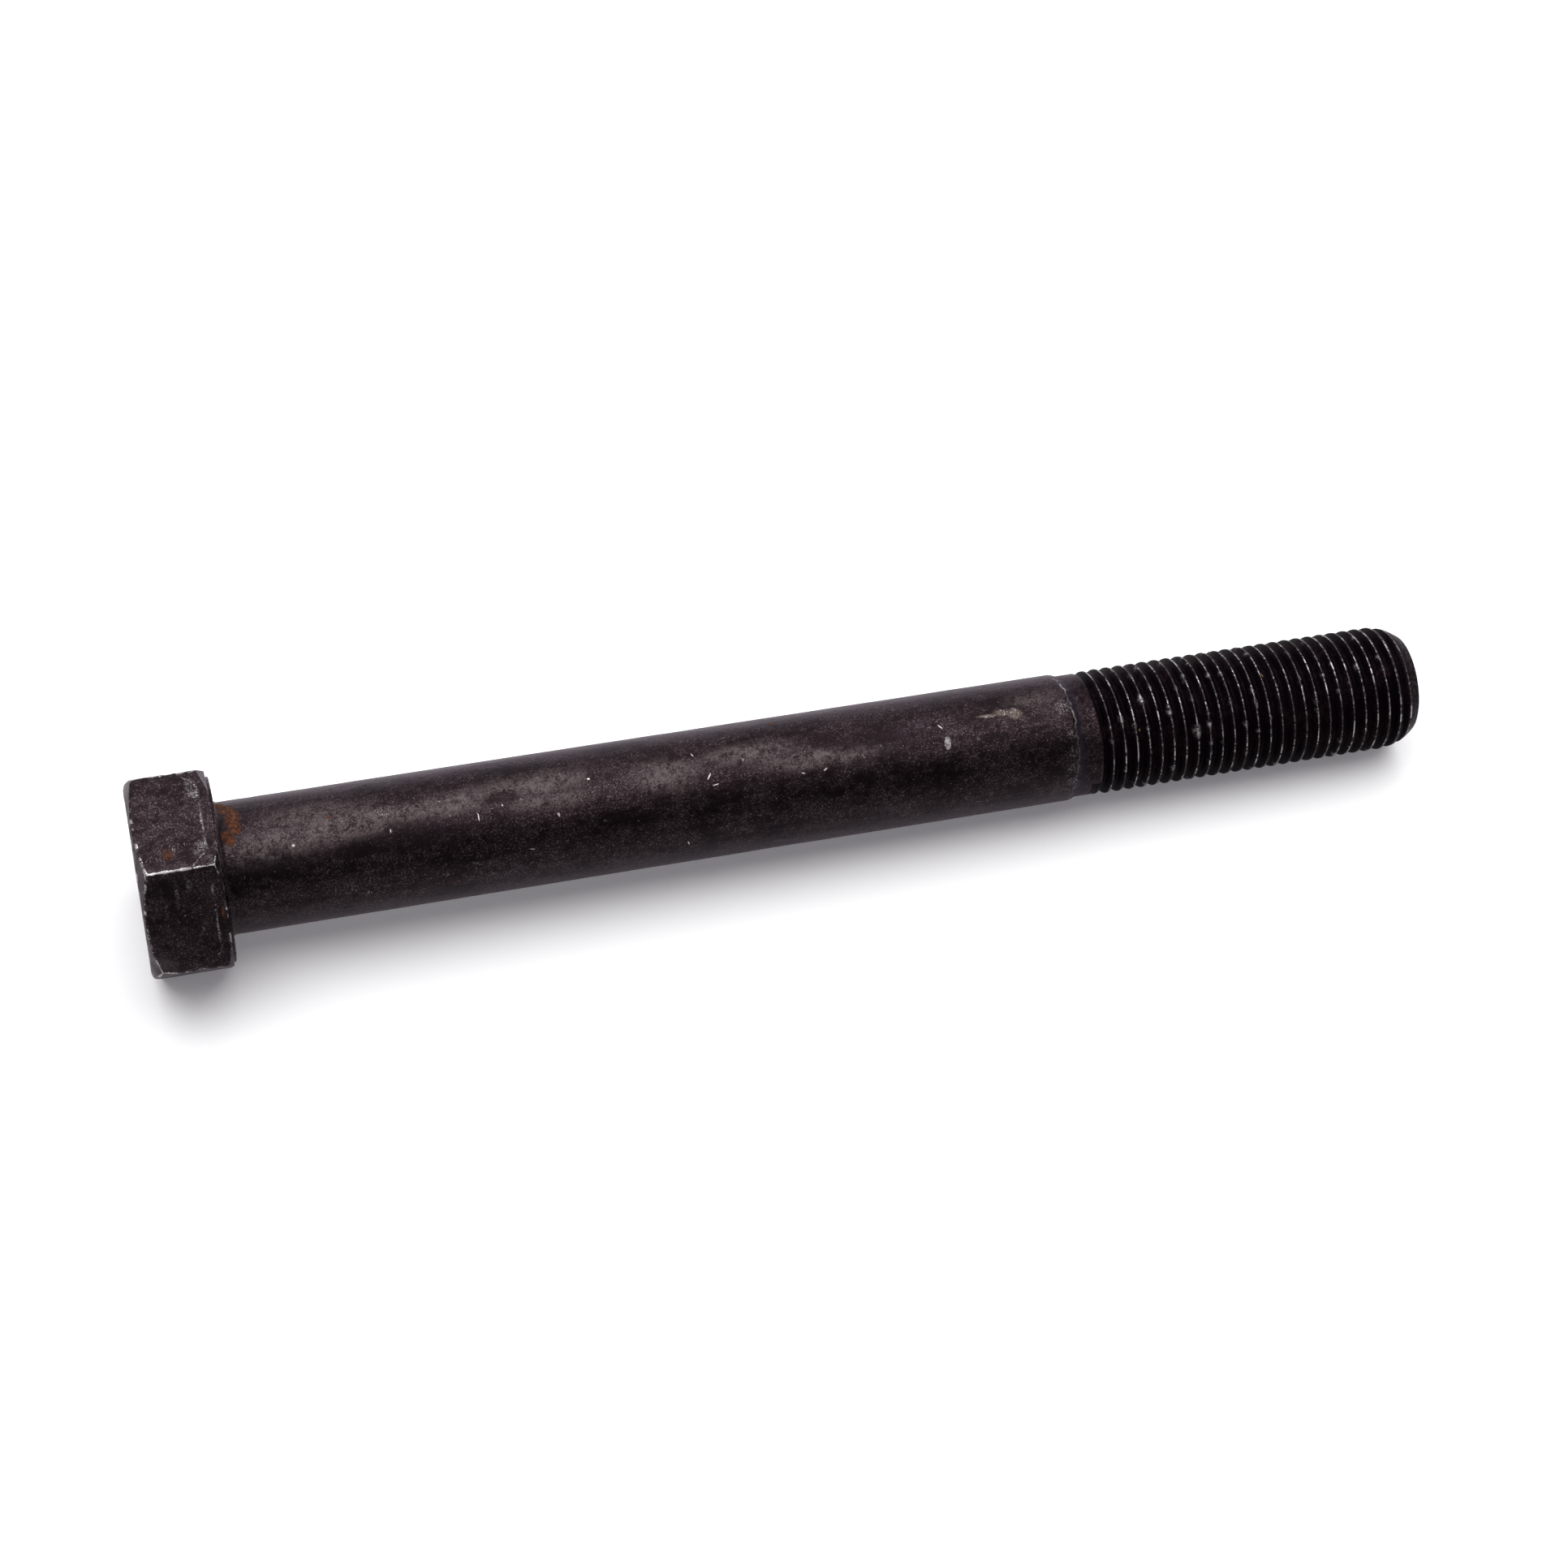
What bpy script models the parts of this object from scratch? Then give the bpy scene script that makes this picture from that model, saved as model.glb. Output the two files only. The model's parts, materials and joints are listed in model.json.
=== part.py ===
"""Hex bolt, M20 x 2 fine thread, 190 mm long, part threaded, lying on one flat of its head.

Frame: the origin is the centre of the head's top face. +X runs along the bolt's axis from the
head to the threaded end, and +Z is up. One flat of the head faces straight down.

The bolt is one forged and rolled piece of steel, so it is one object. It is modelled standing
on local +Z, with the head at the bottom, and laid down by its parent empty.
"""

import math

import bmesh
import bpy
from mathutils import Vector

MM = 0.001

# Driving dimensions.
SHANK_DIAMETER = 20.0 * MM
PITCH = 2.0 * MM
LENGTH_UNDER_HEAD = 189.5 * MM
THREAD_LENGTH = 52.0 * MM
HEAD_HEIGHT = 13.0 * MM
ACROSS_FLATS = 29.3 * MM

# Head. Both ends of the hexagon are chamfered by a cone, deeper at the top.
CHAMFER_ANGLE = math.radians(30.0)
TOP_FACE_DIAMETER = 0.95 * ACROSS_FLATS
LOWER_FACE_DIAMETER = 30.8 * MM
FILLET_RADIUS = 0.8 * MM

# The hexagon stands on a thin round washer face, which is the bearing face.
WASHER_FACE_DIAMETER = 28.0 * MM
WASHER_FACE_HEIGHT = 0.5 * MM

# Neck and thread. Rolling leaves the crests a little under the shank's size.
MAJOR_DIAMETER = 19.6 * MM
MINOR_DIAMETER = SHANK_DIAMETER - 1.2269 * PITCH
PITCH_DIAMETER = SHANK_DIAMETER - 0.6495 * PITCH
NECK_DIAMETER = 19.2 * MM
NECK_LENGTH = 4.6 * MM
NECK_TAPER = 1.0 * MM
CREST_RISE = 3.0 * MM
FLANK_ANGLE = math.radians(30.0)
RUNOUT_LENGTH = 2.0 * MM
RUNOUT_START = 147.4 * MM

# Threaded end: a slight taper, then a steeper chamfer.
END_DIAMETER = 15.8 * MM
END_CHAMFER = 2.0 * MM
END_TAPER_DIAMETER = 18.5 * MM
END_TAPER_LENGTH = 3.0 * MM

# Worked out from the sizes above, along the axis from the head's top face.
TOTAL_LENGTH = HEAD_HEIGHT + LENGTH_UNDER_HEAD
THREAD_START = TOTAL_LENGTH - THREAD_LENGTH
SHANK_END = THREAD_START - NECK_LENGTH - NECK_TAPER
CORNER_RADIUS = ACROSS_FLATS / math.sqrt(3.0)

# How far the shaping bodies reach past the metal they cut, and the most that the groove is
# lifted before its run-out, as a share of its depth.
HEAD_CLEARANCE = 1.0 * MM
GROOVE_CLEARANCE = 0.6 * MM
LIFT_LIMIT = 1.3

# Facets round the axis, and points on the fillet's arc.
SIDES = 24
HEAD_SIDES = 48
FILLET_POINTS = 4
MERGE_DISTANCE = 0.00001


def clear_scene():
    """Removes every object, so that the script can be run twice."""
    for item in list(bpy.data.objects):
        bpy.data.objects.remove(item, do_unlink=True)


def new_collection(name):
    """Makes a collection in the scene."""
    collection = bpy.data.collections.new(name)
    bpy.context.scene.collection.children.link(collection)
    return collection


def black_steel():
    """Steel with a black oxide finish, worn dull."""
    material = bpy.data.materials.new("black_steel")
    material.use_nodes = True
    shader = material.node_tree.nodes["Principled BSDF"]
    shader.inputs["Base Color"].default_value = (0.075, 0.066, 0.07, 1.0)
    shader.inputs["Metallic"].default_value = 0.9
    shader.inputs["Roughness"].default_value = 0.45
    return material


def mesh_object(name, mesh, collection):
    """Puts a mesh in the collection as a new object."""
    item = bpy.data.objects.new(name, mesh)
    collection.objects.link(item)
    return item


def hide_as_cutter(item):
    """Marks an object as a shaping body, which isn't part of the bolt."""
    item.hide_render = True
    item.display_type = "WIRE"


def profile_mesh(name, points, closed=False):
    """An outline in the local XZ plane, as a mesh of edges that run downwards.

    The points are (radius, height) pairs, listed upwards.
    """
    count = len(points)
    edges = [(i, i + 1) for i in range(count - 1)]
    if closed:
        edges.append((count - 1, 0))
    mesh = bpy.data.meshes.new(name)
    mesh.from_pydata([(radius, 0.0, height) for radius, height in reversed(points)], edges, [])
    return mesh


def turn(item, sides, turns=1, rise=0.0):
    """Turns an outline about local Z with a Screw modifier. A rise makes it a helix."""
    screw = item.modifiers.new("turn", "SCREW")
    screw.axis = "Z"
    screw.angle = math.tau
    screw.steps = sides
    screw.render_steps = sides
    screw.iterations = turns
    screw.screw_offset = rise
    screw.use_merge_vertices = rise == 0.0
    screw.merge_threshold = MERGE_DISTANCE


def boolean(item, tool, operation):
    """Cuts, joins or intersects an object with a shaping body."""
    modifier = item.modifiers.new(operation.lower(), "BOOLEAN")
    modifier.operation = operation
    modifier.solver = "EXACT"
    modifier.object = tool


def fillet_points(centre_radius, centre_height, radius):
    """The quarter arc in the corner between the bearing face and the shank, from the face down."""
    points = []
    for i in range(FILLET_POINTS + 1):
        angle = math.radians(90.0) * i / FILLET_POINTS
        reach = centre_radius - radius * math.sin(angle)
        height = centre_height - radius * math.cos(angle)
        points.append((reach, height))
    return points


def blank_outline():
    """Half of the turned blank: fillet, shank, neck, thread blank and chamfered end."""
    shank = SHANK_DIAMETER / 2.0
    neck = NECK_DIAMETER / 2.0
    crest = MAJOR_DIAMETER / 2.0
    buried = HEAD_HEIGHT / 2.0
    points = [(0.0, buried), (shank + FILLET_RADIUS, buried)]
    points += fillet_points(shank + FILLET_RADIUS, HEAD_HEIGHT + FILLET_RADIUS, FILLET_RADIUS)
    points += [
        (shank, SHANK_END),
        (neck, SHANK_END + NECK_TAPER),
        (neck, THREAD_START - CREST_RISE),
        (crest, THREAD_START),
        (crest, TOTAL_LENGTH - END_CHAMFER - END_TAPER_LENGTH),
        (END_TAPER_DIAMETER / 2.0, TOTAL_LENGTH - END_CHAMFER),
        (END_DIAMETER / 2.0, TOTAL_LENGTH),
        (0.0, TOTAL_LENGTH),
    ]
    return points


def head_turning(collection):
    """The turned form that chamfers the hexagon at both ends and leaves the washer face."""
    reach = CORNER_RADIUS + HEAD_CLEARANCE
    top = TOP_FACE_DIAMETER / 2.0
    lower = LOWER_FACE_DIAMETER / 2.0
    washer = WASHER_FACE_DIAMETER / 2.0
    hexagon_end = HEAD_HEIGHT - WASHER_FACE_HEIGHT
    slope = math.tan(CHAMFER_ANGLE)
    points = [
        (0.0, 0.0),
        (top, 0.0),
        (reach, (reach - top) * slope),
        (reach, hexagon_end - (reach - lower) * slope),
        (lower, hexagon_end),
        (washer, hexagon_end),
        (washer, HEAD_HEIGHT),
        (0.0, HEAD_HEIGHT),
    ]
    item = mesh_object("head_turning", profile_mesh("head_turning", points), collection)
    turn(item, HEAD_SIDES)
    hide_as_cutter(item)
    return item


def head_form(collection):
    """The hexagonal head, with one flat facing local +X."""
    form = bmesh.new()
    bmesh.ops.create_cone(
        form,
        cap_ends=True,
        segments=6,
        radius1=CORNER_RADIUS,
        radius2=CORNER_RADIUS,
        depth=HEAD_HEIGHT + 2.0 * HEAD_CLEARANCE,
    )
    bmesh.ops.translate(form, verts=form.verts, vec=Vector((0.0, 0.0, HEAD_HEIGHT / 2.0)))
    mesh = bpy.data.meshes.new("head_form")
    form.to_mesh(mesh)
    form.free()
    item = mesh_object("head_form", mesh, collection)
    boolean(item, head_turning(collection), "INTERSECT")
    hide_as_cutter(item)
    return item


def groove_outline():
    """The section of the thread groove at its start: a 60 degree trapezoid, open outwards."""
    root = MINOR_DIAMETER / 2.0
    crest = MAJOR_DIAMETER / 2.0
    outer = SHANK_DIAMETER / 2.0 + GROOVE_CLEARANCE
    slope = math.tan(FLANK_ANGLE)
    root_half = PITCH / 4.0 - (PITCH_DIAMETER / 2.0 - root) * slope
    crest_half = PITCH / 4.0 + (crest - PITCH_DIAMETER / 2.0) * slope
    half = [(root, root_half), (crest, crest_half), (outer, crest_half)]
    lower = [(radius, RUNOUT_START - reach) for radius, reach in half]
    upper = [(radius, RUNOUT_START + reach) for radius, reach in half]
    return upper[::-1] + lower


def runout_lift(height):
    """How far the groove is lifted out of the blank at a height, where the thread fades out."""
    depth = (SHANK_DIAMETER - MINOR_DIAMETER) / 2.0
    share = 1.0 - (height - RUNOUT_START) / RUNOUT_LENGTH
    return depth * min(max(share, 0.0), LIFT_LIMIT)


def thread_groove(collection):
    """The right-hand helical groove that leaves the thread standing in the blank."""
    section = profile_mesh("groove_outline", groove_outline(), closed=True)
    outline = mesh_object("groove_outline", section, collection)
    turns = math.ceil((TOTAL_LENGTH - RUNOUT_START) / PITCH) + 1
    turn(outline, SIDES, turns, PITCH)
    graph = bpy.context.evaluated_depsgraph_get()
    mesh = bpy.data.meshes.new_from_object(outline.evaluated_get(graph))
    bpy.data.objects.remove(outline, do_unlink=True)
    form = bmesh.new()
    form.from_mesh(mesh)
    ends = [edge for edge in form.edges if edge.is_boundary]
    bmesh.ops.holes_fill(form, edges=ends, sides=0)
    for vertex in form.verts:
        radius = math.hypot(vertex.co.x, vertex.co.y)
        scale = 1.0 + runout_lift(vertex.co.z) / radius
        vertex.co.x *= scale
        vertex.co.y *= scale
    bmesh.ops.recalc_face_normals(form, faces=form.faces)
    form.to_mesh(mesh)
    form.free()
    item = mesh_object("thread_groove", mesh, collection)
    hide_as_cutter(item)
    return item


def hex_bolt(parts, cutters):
    """The bolt: a turned blank, joined to its hexagonal head, with the thread cut round its end."""
    item = mesh_object("hex_bolt", profile_mesh("hex_bolt", blank_outline()), parts)
    turn(item, SIDES)
    boolean(item, head_form(cutters), "UNION")
    boolean(item, thread_groove(cutters), "DIFFERENCE")
    item.data.materials.append(black_steel())


def lay_down(collection):
    """Parents every object to an empty that turns local +Z to world +X, one flat downwards."""
    axis = bpy.data.objects.new("bolt_axis", None)
    axis.rotation_euler = (0.0, math.radians(90.0), 0.0)
    for item in bpy.data.objects:
        if item is not axis:
            item.parent = axis
    collection.objects.link(axis)


def main():
    clear_scene()
    parts = new_collection("hex_bolt")
    cutters = new_collection("cutters")
    hex_bolt(parts, cutters)
    lay_down(parts)


main()
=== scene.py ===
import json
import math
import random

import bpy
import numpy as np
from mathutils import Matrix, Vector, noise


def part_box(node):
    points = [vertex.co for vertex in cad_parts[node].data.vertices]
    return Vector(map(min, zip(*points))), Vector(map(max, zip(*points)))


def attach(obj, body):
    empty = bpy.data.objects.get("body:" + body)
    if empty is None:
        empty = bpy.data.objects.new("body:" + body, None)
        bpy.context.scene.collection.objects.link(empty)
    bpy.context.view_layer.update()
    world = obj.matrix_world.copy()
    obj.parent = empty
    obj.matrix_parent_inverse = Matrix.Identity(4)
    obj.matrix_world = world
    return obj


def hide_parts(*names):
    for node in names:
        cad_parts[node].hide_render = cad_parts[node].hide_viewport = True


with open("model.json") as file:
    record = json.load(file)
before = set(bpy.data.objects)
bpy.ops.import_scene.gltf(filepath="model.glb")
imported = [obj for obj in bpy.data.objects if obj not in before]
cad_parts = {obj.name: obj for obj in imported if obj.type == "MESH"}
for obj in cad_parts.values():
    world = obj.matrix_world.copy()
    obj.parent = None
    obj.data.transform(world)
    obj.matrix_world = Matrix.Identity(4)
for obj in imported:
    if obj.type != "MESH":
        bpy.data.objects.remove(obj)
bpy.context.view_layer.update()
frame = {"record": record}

# A used M20 x 2 hex bolt of black forged steel, nominally 190 mm long, with a rolled thread.
# It is one forging. Its skin is made as three closed meshes, head, shank and thread, that meet
# at the bearing plane and at the end of the plain shank, so that each one keeps a fine texture.
#
# Lengths are in millimetres and angles in degrees until a mesh is made. Angles run around the
# bolt's axis, +X, from +Y towards +Z, so the flat that faces up is at 90.

MM = 0.001
TURN = math.tau
NODE = "hex_bolt"

# Sizes taken from the frame.
high_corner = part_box(NODE)[1]
mounts = {mount["name"]: Vector(mount["pos_m"]) / MM for mount in frame["record"]["mounts"]}
TOTAL_LENGTH = high_corner.x / MM
HEAD_HEIGHT = mounts["bearing_face"].x
FLAT_DISTANCE = mounts["wrench_flat_up"].z
CORNER_DISTANCE = high_corner.y / MM

# Head.
TOP_FACE = 0.45
TOP_FACE_RADIUS = 0.95 * FLAT_DISTANCE
TOP_CHAMFER_SLOPE = math.tan(math.radians(23.0))
LOWER_FACE_RADIUS = 15.4
LOWER_CHAMFER_SLOPE = math.tan(math.radians(30.0))
# The lower chamfer is cut deeper at one corner: its angle, the spread and the extra depth.
DEEP_CHAMFER = (60.0, 16.0, 0.7)
WASHER_FACE_RADIUS = 14.0
WASHER_FACE_HEIGHT = 0.5
WASHER_EDGE_CUT = 0.1
HEXAGON_END = HEAD_HEIGHT - WASHER_FACE_HEIGHT
HEAD_EDGE_CUT = 0.30
HEAD_CORNER_REACH = 0.45

# Shank. Its edge at the neck lies furthest along at SHANK_END_ANGLE and swings back from there.
SHANK_RADIUS = 10.0
FILLET_RADIUS = 0.8
SHANK_END = 144.65
SHANK_END_SWING = 0.6
SHANK_END_ANGLE = 113.0
SHANK_END_SPREAD = 45.0
# The waves that make that edge jagged: number round the bolt, height and start.
SHANK_END_WAVES = ((5, 0.07, 0.7), (11, 0.07, 0.0), (23, 0.08, 1.9), (43, 0.09, 0.4))
# The length of the cone from that edge down to the neck.
SHANK_END_CONE = 1.1
NECK_RADIUS = 9.6

# Thread: right-handed and rolled, so its crests and roots are rounded.
PITCH = 2.0
CREST_RADIUS = 9.8
ROOT_RADIUS = 8.775
PITCH_LINE_RADIUS = 9.35
FLANK_SLOPE = math.tan(math.radians(30.0))
CREST_AT_TOP = 149.925
CREST_ROUNDING = 0.34
ROOT_ROUNDING = 0.26
CREST_RISE_START = 147.3
CREST_RISE_END = 150.5
GROOVE_START = 147.6
GROOVE_END = 149.2
THREAD_ROWS_START = 147.0
NECK_END_AT_TOP = 148.05
NECK_END_LEAD = 1.9
END_SHORTFALL = 0.5
THREAD_END = TOTAL_LENGTH - END_SHORTFALL
END_CHAMFER = 2.0
CHAMFER_START = THREAD_END - END_CHAMFER
END_FACE_RADIUS = 7.9
END_TAPER_LENGTH = 4.5
END_TAPER_RADIUS = 9.25
END_CUP_DEPTH = 0.35

# Mesh fineness. Columns run along the bolt and rows run round it; the head's columns crowd
# towards its corners.
HEAD_COLUMNS = 288
HEAD_COLUMN_CLUSTER = 0.75
HEAD_ROWS = (14, 7, 34, 4, 4, 4, 10)
HEAD_EDGE_ROWS = 4
BODY_COLUMNS = 192
BODY_ANGLES = np.arange(BODY_COLUMNS) * TURN / BODY_COLUMNS
SHANK_ROW_STEP = 0.62
FILLET_ROWS = 7
CONE_ROWS = 7
NECK_ROWS = 3
CHAMFER_ROWS = 20
CUP_ROWS = 12
# Places across one pitch, from the crest, where the thread's skin has its rows.
THREAD_ROW_PLACES = (0.0, 0.08, 0.16, 0.24, 0.33, 0.55, 0.76, 0.88, 1.0)

# Height of the unevenness that forging, drawing and rolling leave, and of the wander of edges.
HEAD_UNEVENNESS = 0.035
HEAD_EDGE_WANDER = 0.05
SHANK_UNEVENNESS = 0.03
THREAD_UNEVENNESS = 0.012

# Scattered nicks: how many, and the least and greatest reach and depth.
CORNER_NICKS = (12, (0.25, 0.8), (0.04, 0.17))
TOP_EDGE_NICKS = (60, (0.2, 0.6), (0.03, 0.12))
LOWER_EDGE_NICKS = (50, (0.2, 0.55), (0.03, 0.12))
FLAT_NICKS = (26, (0.25, 0.7), (0.02, 0.06))
SHANK_NICKS = (90, (0.4, 1.2), (0.01, 0.035))
CREST_NICKS = (220, (0.12, 0.4), (0.03, 0.14))
# Single knocks: place along the axis, angle, reach and depth.
CHIPPED_CORNER = ((1.6, 178.5, 1.9, 0.60), (3.0, 177.5, 0.9, 0.26), (1.4, 171.0, 1.0, 0.22))
THREAD_KNOCKS = ((164.3, 137.0, 0.6, 0.35), (166.2, 132.0, 0.35, 0.22), (156.0, 100.0, 0.4, 0.25))
# The oval dent near the thread: place along the axis, angle, half length, half width and tilt.
OVAL_DENT = (124.0, 112.5, 0.42, 0.85, -8.0)
OVAL_DENT_DEPTH = 0.14
# How deep a nick is when its surface counts as fully bruised.
BRUISE_DEPTH = 0.12
THREAD_BRUISE_DEPTH = 0.16

SEED = 20


# ---- helpers

def new_object(name, data):
    """Puts a mesh, a lamp or a camera into the scene as a new object."""
    item = bpy.data.objects.new(name, data)
    bpy.context.scene.collection.objects.link(item)
    return item


class Skin:
    """Rings of points around +X that are joined into one closed mesh."""

    def __init__(self, angles):
        self.angles = angles
        self.columns = len(angles)
        self.points = []
        self.edge = []
        self.faces = []
        self.flat_faces = []

    def add_points(self, points, edge):
        first = sum(len(block) for block in self.points)
        self.points.append(np.asarray(points, float))
        self.edge.append(np.broadcast_to(edge, (len(points),)).astype(float))
        return np.arange(first, first + len(points))

    def ring(self, x, radius, edge=0.0):
        """One point on each column, at x and radius; returns their indices."""
        x = np.broadcast_to(x, (self.columns,))
        across = radius * np.cos(self.angles)
        upward = radius * np.sin(self.angles)
        return self.add_points(np.stack([x, across, upward], 1), edge)

    def band(self, ring, following):
        """Four-sided faces between two rings, the second further along the skin."""
        for column in range(self.columns):
            after = (column + 1) % self.columns
            self.faces.append((ring[column], ring[after], following[after], following[column]))

    def rows(self, rings):
        for ring, following in zip(rings[:-1], rings[1:]):
            self.band(ring, following)

    def cap(self, ring, x, facing):
        """A fan that closes a ring; facing is -1 towards the head's top and +1 towards the tip."""
        centre = self.add_points([(x, 0.0, 0.0)], 0.0)[0]
        for column in range(self.columns):
            after = (column + 1) % self.columns
            pair = (ring[after], ring[column]) if facing < 0 else (ring[column], ring[after])
            self.flat_faces.append(len(self.faces))
            self.faces.append((centre,) + pair)

    def finish(self, name, shape_change, material):
        """Makes the object, moves its points by shape_change and gives it its attributes."""
        points = np.concatenate(self.points)
        mesh = bpy.data.meshes.new(name)
        faces = [tuple(int(index) for index in face) for face in self.faces]
        mesh.from_pydata((points * MM).tolist(), [], faces)
        mesh.update()
        normals = np.empty(len(points) * 3)
        mesh.vertices.foreach_get("normal", normals)
        normals = normals.reshape(-1, 3)
        shift, dent = shape_change(points, normals, np.concatenate(self.edge))
        points = points + shift
        mesh.vertices.foreach_set("co", (points * MM).ravel())
        for layer, values in (("edge", np.concatenate(self.edge)), ("dent", dent)):
            attribute = mesh.attributes.new(layer, "FLOAT", "POINT")
            attribute.data.foreach_set("value", values.astype(np.float32))
        mesh.shade_smooth()
        for index in self.flat_faces:
            mesh.polygons[index].use_smooth = False
        mesh.materials.append(material)
        mesh.update()
        piece = new_object(name, mesh)
        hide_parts(NODE)
        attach(piece, "root")
        return piece


def soft_min(first, second, reach):
    """The smaller of two lengths, with the corner between them rounded over about reach."""
    overlap = np.maximum(reach - np.abs(first - second), 0.0) / reach
    return np.minimum(first, second) - overlap ** 2 * reach / 4.0


def soft_max(first, second, reach):
    return -soft_min(-first, -second, reach)


def rise(value, low, high):
    """0 below low, 1 above high, and a smooth step between them."""
    part = np.clip((value - low) / (high - low), 0.0, 1.0)
    return part * part * (3.0 - 2.0 * part)


def turned_by(angle, reference):
    """How far angle lies from reference, in degrees, the short way round."""
    return (angle - reference + 180.0) % 360.0 - 180.0


def on_bolt(x, angle, radius):
    """The point at x along the axis, at angle in degrees and radius."""
    turn = math.radians(angle)
    return np.array((x, radius * math.cos(turn), radius * math.sin(turn)))


def roughness_of(points, spacing, detail, offset):
    """Smooth noise from -1 to 1 at each point, in lumps about as large as spacing."""
    shift = Vector((offset, offset, offset))
    lumps = [noise.fractal(Vector(point) / spacing + shift, 1.0, 2.0, detail) for point in points]
    return np.array(lumps)


def dents(points, marks):
    """Depth of round hollows at each point; a mark is (centre, reach, depth)."""
    depth = np.zeros(len(points))
    for centre, reach, deepest in marks:
        distance = np.linalg.norm(points - centre, axis=1) / reach
        depth = np.maximum(depth, deepest * np.exp(-distance ** 2))
    return depth


# ---- head

def hexagon_radius(angles):
    """Distance from the axis to the wrench flats, with the corner edges slightly rounded."""
    sector = np.mod(angles, TURN / 6)
    half = TURN / 12
    own = FLAT_DISTANCE / np.cos(sector - half)
    smallest_cosine = 0.1
    before = FLAT_DISTANCE / np.maximum(np.cos(sector + half), smallest_cosine)
    behind = FLAT_DISTANCE / np.maximum(np.cos(sector - 3 * half), smallest_cosine)
    return soft_min(own, np.minimum(before, behind), HEAD_CORNER_REACH)


def rounded_profile(corners, row_counts, arc_rows):
    """Rows (x, radius, edge) along a path of straight stretches with rounded corners.

    A corner is (x, radius, cut), each one number or one for each column; edge is 1 on the
    rounding and falls off beside it."""
    fall_off = 0.35
    shortest = 1e-6
    places = [np.stack(np.broadcast_arrays(x, radius)).astype(float) for x, radius, _ in corners]
    width = max(place.shape[1] if place.ndim > 1 else 1 for place in places)
    places = [np.broadcast_to(place.reshape(2, -1), (2, width)) for place in places]
    cuts = [cut for _, _, cut in corners]
    rows = []
    last = len(corners) - 1
    for index, count in enumerate(row_counts):
        start, end = places[index], places[index + 1]
        length = np.maximum(np.linalg.norm(end - start, axis=0), shortest)
        along = (end - start) / length
        first = start + along * cuts[index]
        final = end - along * cuts[index + 1]
        for part in np.linspace(0.0, 1.0, count):
            place = first + (final - first) * part
            stretch = length - cuts[index] - cuts[index + 1]
            from_start = part * stretch if cuts[index] else np.inf
            to_end = (1.0 - part) * stretch if cuts[index + 1] else np.inf
            nearest = np.minimum(from_start, to_end)
            rows.append((place[0], place[1], np.exp(-(nearest / fall_off) ** 2)))
        if index + 1 < last:
            beyond = places[index + 2] - end
            leaving = beyond / np.maximum(np.linalg.norm(beyond, axis=0), shortest)
            after = end + leaving * cuts[index + 1]
            for step in range(1, arc_rows + 1):
                part = step / (arc_rows + 1)
                place = (1 - part) ** 2 * final + 2 * part * (1 - part) * end + part ** 2 * after
                rows.append((place[0], place[1], np.ones(width)))
    return rows


def corner_nicks(draw):
    """Nicks along the six edges between the flats."""
    number, reaches, depths = CORNER_NICKS
    first, last = 1.6, HEXAGON_END - 0.8
    beside = 1.0
    marks = []
    for corner in range(6):
        for _ in range(number):
            x = draw.uniform(first, last)
            depth = draw.uniform(*depths)
            angle = corner * 60.0 + draw.uniform(-beside, beside)
            marks.append((on_bolt(x, angle, CORNER_DISTANCE), draw.uniform(*reaches), depth))
    return marks


def scattered_nicks(draw, kind, place_at):
    """Nicks all round the head; place_at finds the place from an angle and the flats' radius."""
    number, reaches, depths = kind
    marks = []
    for _ in range(number):
        angle = draw.uniform(0.0, 360.0)
        place = place_at(angle, hexagon_radius(np.radians([angle]))[0])
        marks.append((place, draw.uniform(*reaches), draw.uniform(*depths)))
    return marks


def head_marks():
    """Nicks along the head's edges and on its flats, and the corner that has been knocked off."""
    draw = random.Random(SEED)
    first, last = 2.0, 11.0

    def on_top_edge(angle, side):
        return on_bolt(TOP_FACE + (side - TOP_FACE_RADIUS) * TOP_CHAMFER_SLOPE, angle, side)

    def on_lower_edge(angle, side):
        return on_bolt(HEXAGON_END, angle, min(side, LOWER_FACE_RADIUS))

    def on_flat(angle, side):
        return on_bolt(draw.uniform(first, last), angle, side)

    marks = corner_nicks(draw)
    marks += scattered_nicks(draw, TOP_EDGE_NICKS, on_top_edge)
    marks += scattered_nicks(draw, LOWER_EDGE_NICKS, on_lower_edge)
    marks += scattered_nicks(draw, FLAT_NICKS, on_flat)
    for x, angle, reach, depth in CHIPPED_CORNER:
        marks.append((on_bolt(x, angle, CORNER_DISTANCE), reach, depth))
    return marks


def weather_head(points, normals, edge):
    """Forging unevenness, wandering edges and nicks."""
    lumps = HEAD_UNEVENNESS * roughness_of(points, spacing=5.0, detail=3, offset=3.0)
    wander = HEAD_EDGE_WANDER * edge * roughness_of(points, spacing=0.9, detail=2, offset=11.0)
    hollow = dents(points, head_marks())
    shift = normals * (lumps + wander - hollow)[:, None]
    return shift, np.clip(hollow / BRUISE_DEPTH, 0.0, 1.0)


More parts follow.
